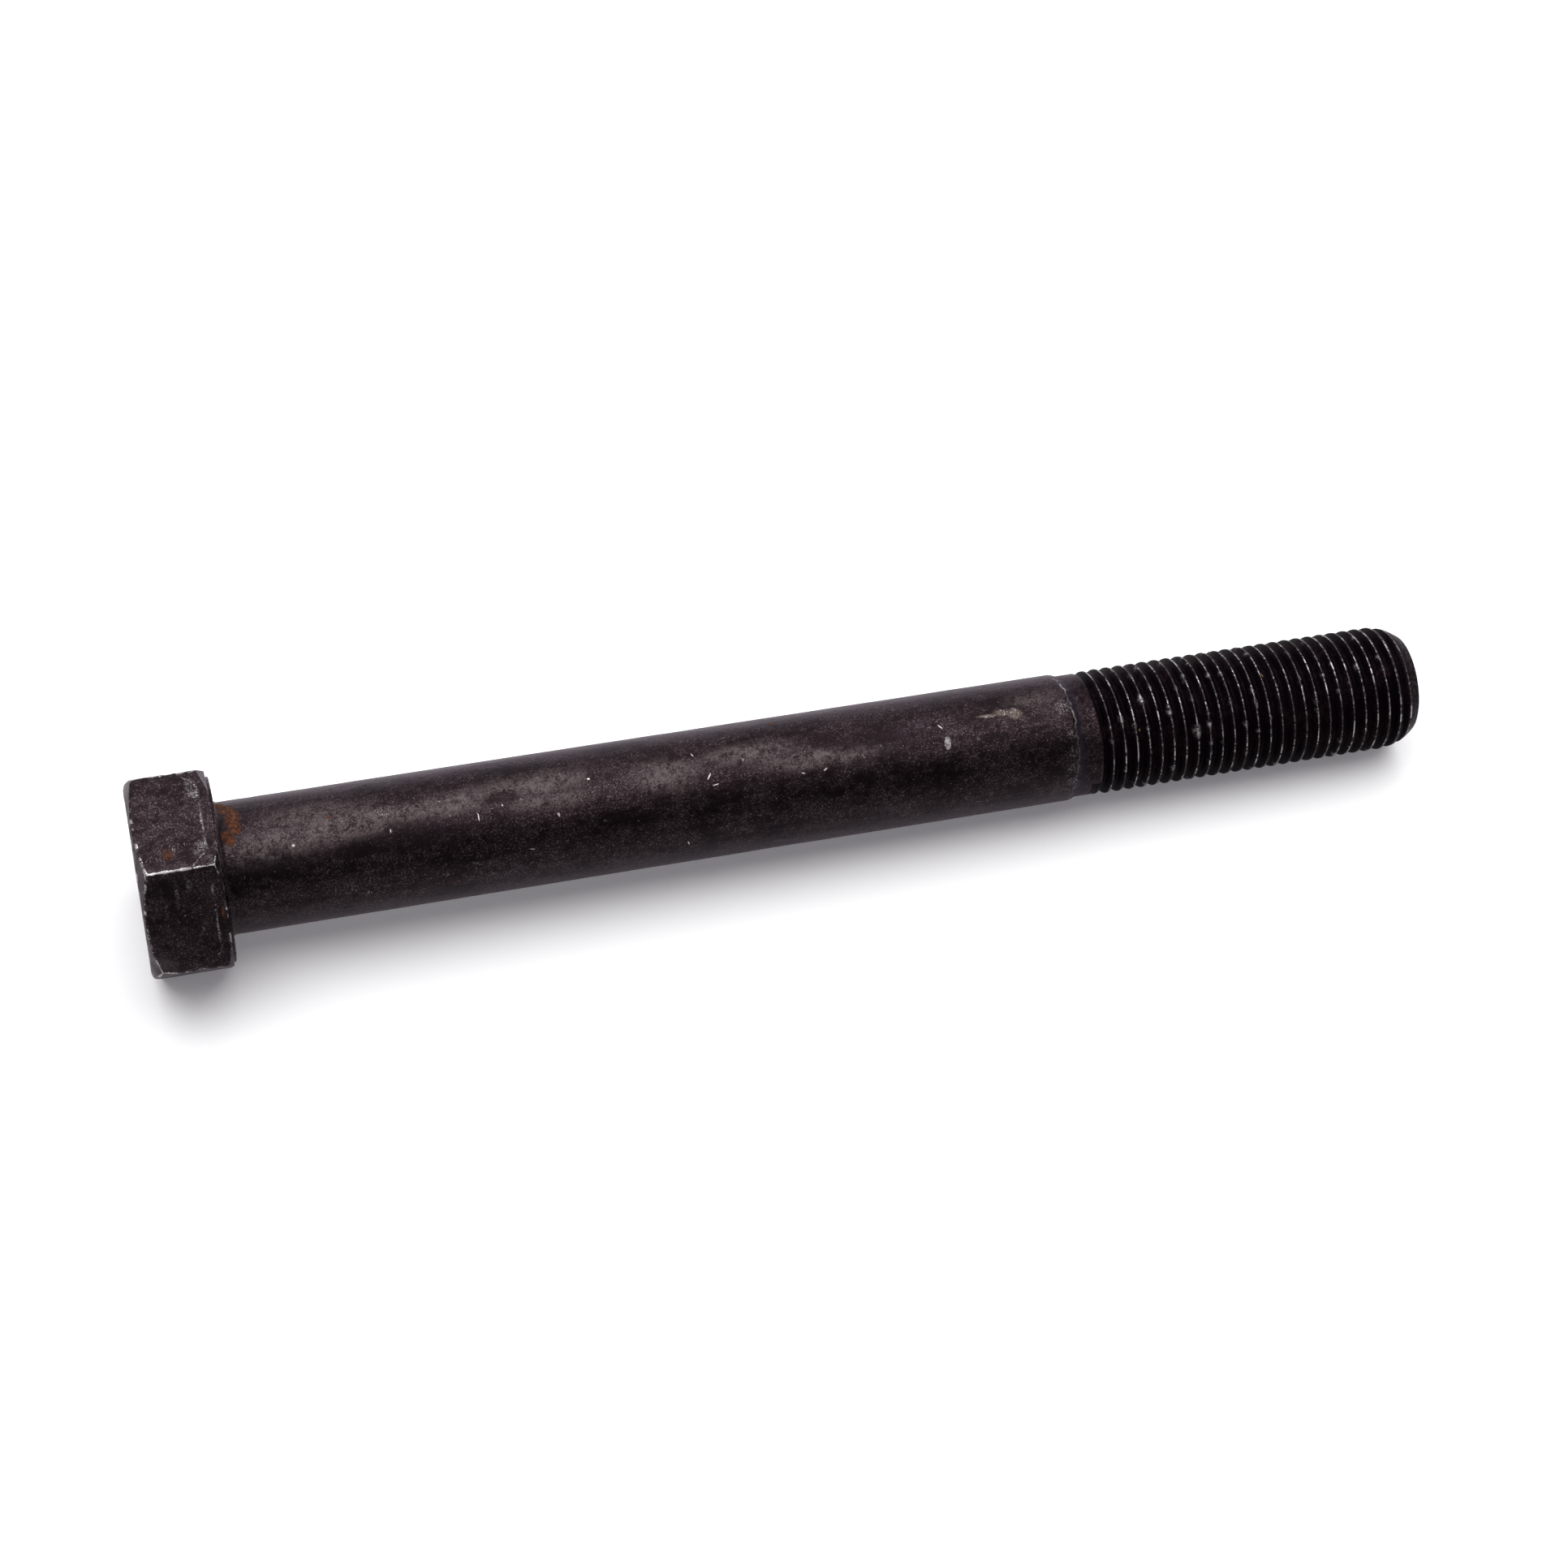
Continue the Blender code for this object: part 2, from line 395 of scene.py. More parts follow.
def make_head(material):
    even = np.arange(HEAD_COLUMNS) * TURN / HEAD_COLUMNS
    angles = even - HEAD_COLUMN_CLUSTER * np.sin(6 * even) / 6
    skin = Skin(angles)
    side = hexagon_radius(angles)
    top_edge = TOP_FACE + (side - TOP_FACE_RADIUS) * TOP_CHAMFER_SLOPE
    deep_angle, deep_spread, deep_cut = DEEP_CHAMFER
    from_deep = turned_by(np.degrees(angles), deep_angle) / deep_spread
    lower_radius = LOWER_FACE_RADIUS - deep_cut * np.exp(-from_deep ** 2)
    least_chamfer = 0.12
    lower_radius = np.minimum(lower_radius, side - least_chamfer)
    lower_edge = HEXAGON_END - (side - lower_radius) * LOWER_CHAMFER_SLOPE
    inner = 1.0
    fine_cut = WASHER_EDGE_CUT / 2
    corners = (
        (TOP_FACE, inner, 0.0),
        (TOP_FACE, TOP_FACE_RADIUS, HEAD_EDGE_CUT),
        (top_edge, side, HEAD_EDGE_CUT),
        (lower_edge, side, WASHER_EDGE_CUT),
        (HEXAGON_END, lower_radius, fine_cut),
        (HEXAGON_END, WASHER_FACE_RADIUS, fine_cut),
        (HEAD_HEIGHT, WASHER_FACE_RADIUS, WASHER_EDGE_CUT),
        (HEAD_HEIGHT, inner, 0.0),
    )
    rows = rounded_profile(corners, HEAD_ROWS, HEAD_EDGE_ROWS)
    side_start = HEAD_ROWS[0] + HEAD_EDGE_ROWS
    side_rows = range(side_start, side_start + HEAD_ROWS[1] + HEAD_EDGE_ROWS + HEAD_ROWS[2])
    corner_gap = np.abs(np.mod(angles + TURN / 12, TURN / 6) - TURN / 12) * CORNER_DISTANCE
    worn_reach = 0.4
    on_corner = np.exp(-(corner_gap / worn_reach) ** 2)
    rings = []
    for number, (x, radius, edge) in enumerate(rows):
        if number in side_rows:
            on_side = rise(x, 0.5 * (TOP_FACE + top_edge), top_edge)
            edge = np.maximum(edge, on_corner * on_side)
        rings.append(skin.ring(x, radius, np.broadcast_to(edge, (HEAD_COLUMNS,))))
    skin.rows(rings)
    skin.cap(rings[0], TOP_FACE, -1)
    skin.cap(rings[-1], HEAD_HEIGHT, 1)
    return skin.finish("bolt_head", weather_head, material)


# ---- shank

def shank_end(angles):
    """Where the plain shank ends: a wandering edge, furthest along at SHANK_END_ANGLE."""
    away = turned_by(np.degrees(angles), SHANK_END_ANGLE) / SHANK_END_SPREAD
    wander = np.zeros(len(angles))
    for waves, height, start in SHANK_END_WAVES:
        wander += height * np.sin(waves * angles + start)
    return SHANK_END - SHANK_END_SWING * (1.0 - np.exp(-away ** 2)) + wander


def weather_shank(points, normals, _edge):
    """Long, shallow unevenness from drawing, small hollows, and the oval dent near the thread.

    All of it fades out towards both ends of the shank."""
    fade = rise(points[:, 0], HEAD_HEIGHT, HEAD_HEIGHT + 2.0)
    fade = fade * (1.0 - rise(points[:, 0], SHANK_END - 6.0, SHANK_END - 3.5))
    stretched = points * np.array((0.25, 1.0, 1.0))
    waves = SHANK_UNEVENNESS * roughness_of(stretched, spacing=2.6, detail=3, offset=5.0)
    draw = random.Random(SEED + 1)
    number, reaches, depths = SHANK_NICKS
    first, last = 15.0, 138.0
    marks = []
    for _ in range(number):
        place = on_bolt(draw.uniform(first, last), draw.uniform(0.0, 360.0), SHANK_RADIUS)
        marks.append((place, draw.uniform(*reaches), draw.uniform(*depths)))
    hollow = dents(points, marks)
    x, angle, half_length, half_width, _ = OVAL_DENT
    squeeze = half_width / half_length
    centre = on_bolt(x * squeeze, angle, SHANK_RADIUS)
    squeezed = points * np.array((squeeze, 1.0, 1.0))
    oval = dents(squeezed, [(centre, half_width, OVAL_DENT_DEPTH)])
    hollow = np.maximum(hollow, oval)
    shift = normals * (fade * (waves - hollow))[:, None]
    return shift, np.clip(oval / BRUISE_DEPTH, 0.0, 1.0)


def make_shank(material):
    skin = Skin(BODY_ANGLES)
    rings = []
    for row in range(FILLET_ROWS + 1):
        turn = row / FILLET_ROWS * TURN / 4
        x = HEAD_HEIGHT + FILLET_RADIUS * (1.0 - math.cos(turn))
        radius = SHANK_RADIUS + FILLET_RADIUS * (1.0 - math.sin(turn))
        rings.append(skin.ring(x, radius))
    end = shank_end(BODY_ANGLES)
    first = HEAD_HEIGHT + FILLET_RADIUS
    count = int((SHANK_END - first) / SHANK_ROW_STEP)
    for row in range(1, count + 1):
        part = row / count
        bent = rise(part, 0.9, 1.0)
        x = first + (SHANK_END - first) * part + (end - SHANK_END) * bent
        rings.append(skin.ring(x, SHANK_RADIUS, 1.0 if row == count else 0.0))
    skin.rows(rings)
    skin.cap(rings[0], HEAD_HEIGHT, -1)
    skin.cap(rings[-1], SHANK_END - SHANK_END_SWING, 1)
    return skin.finish("bolt_shank", weather_shank, material)


# ---- thread

def thread_depth(place):
    """How far the thread's skin lies under its crest line, place mm from the crest."""
    place = np.abs(place)
    flank = PITCH_LINE_RADIUS + (PITCH / 4 - place) / FLANK_SLOPE
    ridge = soft_min(flank, CREST_RADIUS, CREST_ROUNDING)
    return CREST_RADIUS - soft_max(ridge, ROOT_RADIUS, ROOT_ROUNDING)


def thread_radius(x, angles):
    """Radius of the neck, the thread, its run-out and its tapered end."""
    turns = angles / TURN - 0.25
    phase = (x - CREST_AT_TOP) / PITCH - turns
    place = (phase - np.round(phase)) * PITCH
    crest = NECK_RADIUS + (CREST_RADIUS - NECK_RADIUS) * rise(x, CREST_RISE_START, CREST_RISE_END)
    groove = rise(x, GROOVE_START, GROOVE_END)
    radius = crest - groove * thread_depth(place)
    taper_start = THREAD_END - END_TAPER_LENGTH
    along = (x - taper_start) / (CHAMFER_START - taper_start)
    taper = CREST_RADIUS + (END_TAPER_RADIUS - CREST_RADIUS) * along
    along = (x - CHAMFER_START) / END_CHAMFER
    chamfer = END_TAPER_RADIUS + (END_FACE_RADIUS - END_TAPER_RADIUS) * along
    envelope = soft_min(taper, chamfer, reach=0.4)
    return soft_min(radius, envelope, reach=0.08)


def helical_rows(skin, start, stop):
    """The threaded stretch between two flat rings: rows that climb one pitch in each turn.

    A row is left out of a column where it would pass either flat ring, and the faces beside
    such a place have one corner more."""
    places = THREAD_ROW_PLACES
    across = sorted(set(places) | {-place for place in places[1:-1]})
    clearance = 0.05
    first_turn = math.floor((start - CREST_AT_TOP) / PITCH) - 2
    last_turn = math.ceil((stop - CREST_AT_TOP) / PITCH) + 2
    levels = []
    for number in range(first_turn, last_turn):
        for place in across:
            levels.append(CREST_AT_TOP + number * PITCH + place)
    levels = np.array(levels)
    grid = []
    for column, angle in enumerate(skin.angles):
        x = levels + PITCH * (angle / TURN - 0.25)
        kept = np.nonzero((x > start + clearance) & (x < stop - clearance))[0]
        radius = thread_radius(x[kept], angle)
        points = np.stack([x[kept], radius * np.cos(angle), radius * np.sin(angle)], 1)
        indices = skin.add_points(points, 0.0)
        grid.append(dict(zip(kept.tolist(), indices.tolist())))
    first_ring = skin.ring(start, thread_radius(start, skin.angles))
    last_ring = skin.ring(stop, thread_radius(stop, skin.angles))
    for column in range(skin.columns):
        after = (column + 1) % skin.columns
        wrapped = len(across) if after == 0 else 0
        here = grid[column]
        there = {level - wrapped: index for level, index in grid[after].items()}
        shared = sorted(set(here) & set(there))
        for level in shared[:-1]:
            skin.faces.append((here[level], there[level], there[level + 1], here[level + 1]))
        low_here, low_there = (
            [side[level] for level in sorted(side) if level <= shared[0]] for side in (here, there)
        )
        high_here, high_there = (
            [side[level] for level in sorted(side) if level >= shared[-1]] for side in (here, there)
        )
        skin.faces.append((first_ring[column], first_ring[after], *low_there, *low_here[::-1]))
        ends = (last_ring[after], last_ring[column])
        skin.faces.append((high_here[0], *high_there, *ends, *high_here[:0:-1]))
    return first_ring, last_ring


def thread_marks():
    """Knocks on the crests: (x, angle, reach, depth) of the large ones, and many small ones."""
    marks = []
    for x, angle, reach, depth in THREAD_KNOCKS:
        marks.append((on_bolt(x, angle, CREST_RADIUS), reach, depth))
    draw = random.Random(SEED + 2)
    number, reaches, depths = CREST_NICKS
    turns = 26
    off_crest = 0.25
    last = THREAD_END - 1.0
    for _ in range(number):
        turn = draw.randrange(turns)
        angle = draw.uniform(0.0, 360.0)
        x = CREST_AT_TOP + turn * PITCH + PITCH * (angle / 360.0 - 0.25)
        if x < last:
            place = on_bolt(x + draw.uniform(-off_crest, off_crest), angle, CREST_RADIUS)
            marks.append((place, draw.uniform(*reaches), draw.uniform(*depths)))
    return marks


def weather_thread(points, normals, _edge):
    """Slight unevenness and knocked crests, which fade in past the shank's edge."""
    fade = rise(points[:, 0], SHANK_END + 0.5, SHANK_END + 2.5)
    lumps = THREAD_UNEVENNESS * roughness_of(points, spacing=1.3, detail=3, offset=7.0)
    hollow = dents(points, thread_marks())
    shift = normals * (fade * (lumps - hollow))[:, None]
    return shift, np.clip(hollow / THREAD_BRUISE_DEPTH, 0.0, 1.0)


def make_thread(material):
    skin = Skin(BODY_ANGLES)
    end = shank_end(BODY_ANGLES)
    rings = [skin.ring(end, SHANK_RADIUS, 1.0)]
    for row in range(1, CONE_ROWS + 1):
        part = row / CONE_ROWS
        drop = rise(part, -0.25, 1.0) * (SHANK_RADIUS - NECK_RADIUS)
        rings.append(skin.ring(end + SHANK_END_CONE * part, SHANK_RADIUS - drop, 1.0 - part))
    for row in range(1, NECK_ROWS):
        part = row / NECK_ROWS
        x = (end + SHANK_END_CONE) * (1.0 - part) + THREAD_ROWS_START * part
        rings.append(skin.ring(x, NECK_RADIUS))
    first_ring, last_ring = helical_rows(skin, THREAD_ROWS_START, CHAMFER_START)
    rings.append(first_ring)
    skin.rows(rings)
    skin.cap(rings[0], SHANK_END - SHANK_END_SWING, -1)
    end_rings = [last_ring]
    for row in range(1, CHAMFER_ROWS + 1):
        x = CHAMFER_START + END_CHAMFER * row / CHAMFER_ROWS
        edge = 1.0 if row == CHAMFER_ROWS else 0.5
        end_rings.append(skin.ring(x, thread_radius(x, BODY_ANGLES), edge))
    rim = thread_radius(THREAD_END, BODY_ANGLES)
    for row in range(1, CUP_ROWS + 1):
        inward = row / (CUP_ROWS + 1)
        x = THREAD_END - END_CUP_DEPTH * rise(inward, 0.02, 0.3)
        end_rings.append(skin.ring(x, rim * (1.0 - inward)))
    skin.rows(end_rings)
    skin.cap(end_rings[-1], THREAD_END - END_CUP_DEPTH, 1)
    return skin.finish("bolt_thread", weather_thread, material)


# ---- materials

class Finish:
    """What a layer of the surface looks like; each value is a number, a colour or a socket."""

    def __init__(self, colour, metallic, roughness):
        self.colour = colour
        self.metallic = metallic
        self.roughness = roughness


class Graph:
    """Builds one material's nodes. Places are in millimetres in the bolt's own frame."""

    def __init__(self, name):
        self.material = bpy.data.materials.new(name)
        self.material.use_nodes = True
        self.tree = self.material.node_tree
        self.tree.nodes.clear()
        coordinates = self.tree.nodes.new("ShaderNodeTexCoord")
        self.place = self.vector("MULTIPLY", coordinates.outputs["Object"], (1 / MM,) * 3)
        self.x, self.y, self.z = self.split(self.place)

    def node(self, kind, values, **settings):
        node = self.tree.nodes.new(kind)
        for key, value in settings.items():
            setattr(node, key, value)
        for key, value in values.items():
            if isinstance(value, bpy.types.NodeSocket):
                self.tree.links.new(value, node.inputs[key])
            else:
                node.inputs[key].default_value = value
        return node

    def math(self, operation, *values):
        return self.node("ShaderNodeMath", dict(enumerate(values)), operation=operation).outputs[0]

    def chain(self, operation, values):
        result = values[0]
        for value in values[1:]:
            result = self.math(operation, result, value)
        return result

    def add(self, *values):
        return self.chain("ADD", values)

    def times(self, *values):
        return self.chain("MULTIPLY", values)

    def either(self, *values):
        return self.chain("MAXIMUM", values)

    def vector(self, operation, first, second):
        values = {0: first, 1: second}
        return self.node("ShaderNodeVectorMath", values, operation=operation).outputs[0]

    def split(self, vector):
        return self.node("ShaderNodeSeparateXYZ", {0: vector}).outputs

    def noise(self, size, detail=3.0, roughness=0.5, stretch=(1.0, 1.0, 1.0), twist=0.0):
        """Noise from 0 to 1 in lumps about as large as size, stretched along the axes."""
        scale = tuple(1.0 / (size * part) for part in stretch)
        place = self.vector("MULTIPLY", self.place, scale)
        values = {"Vector": place, "Scale": 1.0, "Detail": detail, "Roughness": roughness}
        values["Distortion"] = twist
        return self.node("ShaderNodeTexNoise", values, noise_dimensions="3D").outputs[0]

    def cells(self, size, warp=None):
        """Distance to the nearest of scattered points about size apart, and a draw for each."""
        place = self.vector("MULTIPLY", self.place, (1.0 / size,) * 3)
        if warp is not None:
            place = self.vector("ADD", place, warp)
        node = self.node("ShaderNodeTexVoronoi", {"Vector": place, "Scale": 1.0})
        return node.outputs["Distance"], self.split(node.outputs["Color"])[0]

    def step(self, value, low, high, bottom=0.0, top=1.0):
        """Goes smoothly from bottom to top as value goes from low to high."""
        values = {"Value": value, 1: low, 2: high, 3: bottom, 4: top}
        return self.node("ShaderNodeMapRange", values, interpolation_type="SMOOTHSTEP").outputs[0]

    def blend(self, amount, first, second):
        """A colour between two others."""
        node = self.node("ShaderNodeMix", {0: amount}, data_type="RGBA")
        for socket, colour in zip((node.inputs[6], node.inputs[7]), (first, second)):
            if isinstance(colour, bpy.types.NodeSocket):
                self.tree.links.new(colour, socket)
            else:
                socket.default_value = (*colour, 1.0)
        return node.outputs[2]

    def mix(self, amount, first, second):
        node = self.node("ShaderNodeMix", {0: amount, 2: first, 3: second}, data_type="FLOAT")
        return node.outputs[0]

    def cover(self, base, layer, mask, strength=1.0):
        """Lays one finish over another where mask is 1, as strongly as strength says."""
        amount = self.times(mask, strength)
        return Finish(
            self.blend(amount, base.colour, layer.colour),
            self.mix(amount, base.metallic, layer.metallic),
            self.mix(amount, base.roughness, layer.roughness),
        )

    def attribute(self, name):
        return self.node("ShaderNodeAttribute", {}, attribute_name=name).outputs["Fac"]

    def spot(self, x, angle, radius, half_length, half_width, tilt=0.0):
        """Distance from a place on the surface, 1 at the rim of an oval lying on it."""
        centre = on_bolt(x, angle, radius)
        facing = Matrix.Rotation(math.radians(angle - 90.0), 3, "X")
        turned = facing @ Matrix.Rotation(math.radians(tilt), 3, "Z")
        depth = 2.5
        values = {"Vector": self.place, "Location": centre, "Rotation": turned.to_euler("XYZ")}
        values["Scale"] = (half_length, half_width, depth)
        local = self.node("ShaderNodeMapping", values, vector_type="TEXTURE").outputs[0]
        return self.node("ShaderNodeVectorMath", {0: local}, operation="LENGTH").outputs["Value"]

    def shade(self, finish, height, refraction):
        """Makes the material; height is the surface's fine relief in millimetres."""
        bump = self.node("ShaderNodeBump", {"Height": height, "Distance": MM})
        values = {
            "Base Color": finish.colour,
            "Metallic": finish.metallic,
            "Roughness": finish.roughness,
            "IOR": refraction,
            "Specular Tint": (*EDGE_TINT, 1.0),
            "Normal": bump.outputs[0],
        }
        shader = self.node("ShaderNodeBsdfPrincipled", values)
        output = self.tree.nodes.new("ShaderNodeOutputMaterial")
        self.tree.links.new(shader.outputs[0], output.inputs["Surface"])
        return self.material


BLACK_COAT = (0.0050, 0.0028, 0.0039)
BROWN_COAT = (0.0110, 0.0064, 0.0075)
MAUVE_COAT = (0.0210, 0.0137, 0.0177)
WORN_COAT = (0.120, 0.098, 0.104)
HANDLED_COAT = (0.062, 0.049, 0.050)
NECK_COAT = (0.017, 0.014, 0.020)
OILED_COAT = (0.0020, 0.0011, 0.0020)
OILED_BROWN = (0.0080, 0.0042, 0.0055)
BARE_STEEL = (0.50, 0.47, 0.48)
SCUFF_COLOUR = (0.110, 0.082, 0.070)
YELLOW_PAINT = (0.30, 0.21, 0.07)
RUST_DARK = (0.026, 0.011, 0.007)
RUST_BRIGHT = (0.100, 0.034, 0.015)

# How strongly each kind of mark covers the coat, from 0 to 1.
FLECKED = 0.46
PITTED = 0.75
CHAMFER_RUBBED = 0.5
CHIPS_RUBBED = 0.45
FLATS_RUBBED = 0.36
EDGES_BARED = 0.72
HEAD_SCRATCHED = 0.30
HEAD_RUSTED = 0.7
HANDLED = 0.8
DARKENED = 0.6
SHANK_SCRATCHED = 0.28
ROWS_BARED = 0.30
TICKS_BARED = 0.6
SHANK_END_SCUFFED = 0.22
PALE_SCUFFED = 0.8
SHANK_RUSTED = 0.9
NECK_SHADED = 0.55
CRESTS_DUSTED = 0.45
CRESTS_BARED = 0.6
TIP_RUBBED = 0.8
NECK_RIM_BARED = 0.12
PAINTED = 0.8

# Refractive indices chosen for how strongly the two coats shine.
COAT_REFRACTION = 1.20
OIL_REFRACTION = 1.06
COAT_METALLIC = 0.7
# How much of its shine the coat keeps where it is seen almost edge on.
EDGE_TINT = (0.84, 0.78, 0.83)

# Marks on the surface: place along the axis, angle, half length, half width and any tilt.
UNDERHEAD_RUST = (
    (13.7, 55.0, 0.7, 0.9),
    (14.7, 64.0, 1.0, 1.0, -35.0),
    (15.4, 77.0, 0.9, 1.3, -25.0),
    (15.5, 88.0, 0.7, 1.0, 20.0),
    (14.3, 97.0, 0.7, 1.1, 25.0),
)
RUST_DOTS = ((29.4, 92.0, 0.30, 0.28), (98.0, 60.0, 0.30, 0.30))
HANDLED_PATCHES = (
    (21.0, 111.0, 8.0, 2.7, 4.0),
    (31.0, 102.0, 9.0, 2.4, 5.0),
    (27.0, 84.0, 7.0, 1.6),
    (46.0, 97.0, 8.0, 1.8, 3.0),
    (60.0, 90.0, 9.0, 2.0),
    (62.0, 109.0, 6.0, 1.2),
    (80.0, 101.0, 5.0, 2.4, -3.0),
    (93.0, 92.0, 7.0, 1.6),
    (104.0, 108.0, 9.0, 1.4),
    (139.0, 80.0, 4.0, 1.3),
)
DARK_PATCHES = (
    (40.0, 122.0, 12.0, 1.5, 2.0),
    (55.0, 99.0, 3.0, 0.8),
    (73.0, 57.0, 6.0, 0.7),
    (75.0, 137.0, 2.2, 0.9),
    (112.0, 97.0, 7.0, 1.6),
    (20.0, 128.0, 6.0, 1.6),
)
PALE_SCUFF = (
    (131.2, 93.0, 1.7, 0.30, -4.0),
    (133.6, 92.0, 1.3, 0.55, -10.0),
    (135.4, 94.5, 1.2, 0.95, -15.0),
)
SHARP_TICKS = (
    (23.5, 112.5, 0.20, 0.18),
    (37.9, 113.0, 0.07, 0.28),
    (51.1, 113.0, 0.08, 0.55),
    (54.9, 106.0, 0.10, 0.12),
    (63.0, 121.5, 0.16, 0.30, 20.0),
    (68.4, 94.0, 0.22, 0.14),
    (84.7, 86.0, 0.07, 0.35, 20.0),
    (86.5, 109.0, 0.09, 0.55, -35.0),
    (87.3, 117.0, 0.50, 0.08, 8.0),
    (100.9, 119.0, 0.30, 0.09, -20.0),
    (104.4, 118.5, 0.35, 0.10, 30.0),
    (82.3, 168.0, 0.09, 0.35, 15.0),
    (58.4, 148.0, 0.35, 0.09, -15.0),
    (123.4, 96.5, 0.08, 0.45, 40.0),
)
SPECKLED_ROWS = (
    (50.5, 154.5, 3.2, 0.35, -7.0),
    (45.0, 160.0, 2.0, 0.30, 6.0),
    (31.0, 157.0, 0.9, 1.2, 30.0),
    (38.0, 95.0, 2.4, 0.8),
    (33.5, 165.0, 1.4, 0.5),
)
SHANK_END_SCUFFS = (
    (143.7, 122.0, 0.9, 0.7),
    (143.5, 139.0, 0.8, 1.2),
    (143.3, 154.0, 0.9, 0.9),
    (143.5, 168.0, 0.8, 0.8),
    (143.2, 96.0, 1.2, 1.4),
)
YELLOW_FLECKS = ((176.4, 93.0, 0.20, 0.35), (154.9, 128.0, 0.16, 0.20))
HEAD_SPECKS = (
    (9.9, 110.0, 1.2, 0.9, 60.0),
    (10.2, 70.0, 0.9, 2.0, 10.0),
    (6.2, 107.0, 0.25, 1.6),
    (5.7, 132.0, 0.30, 2.2),
    (7.6, 128.0, 0.5, 0.8),
    (11.3, 117.0, 1.0, 0.9),
)
HEAD_RUST = ((5.3, 111.0, 0.8, 0.9), (11.9, 148.0, 0.25, 0.9))
RUBBED_LINE = 11.3
RUBBED_LINE_BEND = 2.6
# The edge that is worn most is the corner between the flats at 90 and 150. The extra bare metal
# along it is partly wear and partly a painted highlight on that rounded corner.
CORNER_WEAR_AND_GLINT = math.radians(120.0)
# The stretch of the shank's end that is worn to bright metal.
BRIGHT_EDGE = math.radians(84.0)


def black_coat(graph, streak_length):
    """Old black oxide on forged steel: brown-black, with mauve-grey mottling and fine grain.

    Returns the finish and its relief. The tone runs from about 0.4, black, to 0.6, mauve."""
    clouds = graph.noise(6.0, detail=5.0, roughness=0.65)
    streaks = graph.noise(1.5, detail=5.0, roughness=0.65, stretch=(streak_length, 1.0, 1.0))
    mottling = graph.noise(1.2, detail=5.0, roughness=0.75)
    grain = graph.noise(0.26, detail=3.0, roughness=0.8)
    tone = graph.add(graph.times(clouds, 0.26), graph.times(streaks, 0.18))
    tone = graph.add(tone, graph.times(mottling, 0.26), graph.times(grain, 0.30))
    colour = graph.blend(graph.step(tone, 0.42, 0.53), BLACK_COAT, BROWN_COAT)
    colour = graph.blend(graph.step(tone, 0.48, 0.61), colour, MAUVE_COAT)
    flecked = graph.times(graph.step(grain, 0.54, 0.63), graph.step(tone, 0.48, 0.56))
    colour = graph.blend(graph.times(flecked, FLECKED), colour, WORN_COAT)
    distance, draw = graph.cells(1.7)
    pits = graph.times(graph.step(distance, 0.34, 0.16), graph.step(draw, 0.62, 0.66))
    colour = graph.blend(graph.times(pits, PITTED), colour, BLACK_COAT)
    roughness = graph.add(graph.times(mottling, 0.20), graph.times(clouds, 0.10), 0.29)
    height = graph.add(graph.times(mottling, 0.080), graph.times(grain, 0.026))
    height = graph.add(height, graph.times(streaks, 0.05), graph.times(pits, -0.02))
    return Finish(colour, COAT_METALLIC, roughness), height


def oiled_coat(graph):
    """The thread's finish: nearly black, smooth from rolling, and still a little oily.

    Returns the finish and its relief."""
    grain = graph.noise(0.5, detail=3.0, roughness=0.7)
    clouds = graph.noise(4.0, detail=3.0)
    tone = graph.step(graph.add(graph.times(clouds, 0.5), graph.times(grain, 0.5)), 0.48, 0.66)
    colour = graph.blend(tone, OILED_COAT, OILED_BROWN)
    roughness = graph.add(graph.times(grain, 0.20), graph.times(clouds, 0.14), 0.22)
    return Finish(colour, 0.0, roughness), graph.times(grain, 0.03)


def pale_scuff(graph):
    """Where something softer has rubbed off on the bolt."""
    grain = graph.noise(0.3, detail=2.0, roughness=0.8)
    colour = graph.blend(graph.step(grain, 0.56, 0.68), SCUFF_COLOUR, BARE_STEEL)
    return Finish(colour, 0.2, 0.7)


def bare_steel(graph):
    grain = graph.noise(0.35, detail=2.0)
    roughness = graph.add(graph.times(grain, 0.2), 0.30)
    return Finish(BARE_STEEL, 1.0, roughness)


def rust(graph):
    grain = graph.noise(0.5, detail=4.0, roughness=0.7)
    colour = graph.blend(graph.step(grain, 0.42, 0.62), RUST_DARK, RUST_BRIGHT)
    return Finish(colour, 0.0, 0.9)


def stray_flecks(graph):
    """Small bright knocks and short curved scratches scattered over the surface."""
    warp = graph.node("ShaderNodeTexNoise", {"Vector": graph.place, "Scale": 2.2}).outputs["Color"]
    distance, draw = graph.cells(1.9, warp=warp)
    dots = graph.times(graph.step(distance, 0.085, 0.03), graph.step(draw, 0.80, 0.84))
    contour = graph.math("ABSOLUTE", graph.add(graph.noise(1.3, detail=1.0), -0.5))
    broken = graph.step(graph.noise(1.1, detail=3.0, twist=0.6), 0.62, 0.68)
    hairs = graph.times(graph.step(contour, 0.008, 0.002), broken)
    return graph.either(dots, hairs)


def marks(graph, places, radius, ragged, softness=0.25):
    """Ovals with ragged rims; ragged is noise from 0 to 1, softness half the rim's width."""
    rim = 1.5
    masks = []
    for x, angle, *form in places:
        distance = graph.add(graph.spot(x, angle, radius, *form), ragged)
        masks.append(graph.step(distance, rim + softness, rim - softness))
    return graph.either(*masks)


def around_axis(graph):
    """The angle round the axis, in radians from +Y towards +Z."""
    return graph.math("ARCTAN2", graph.z, graph.y)


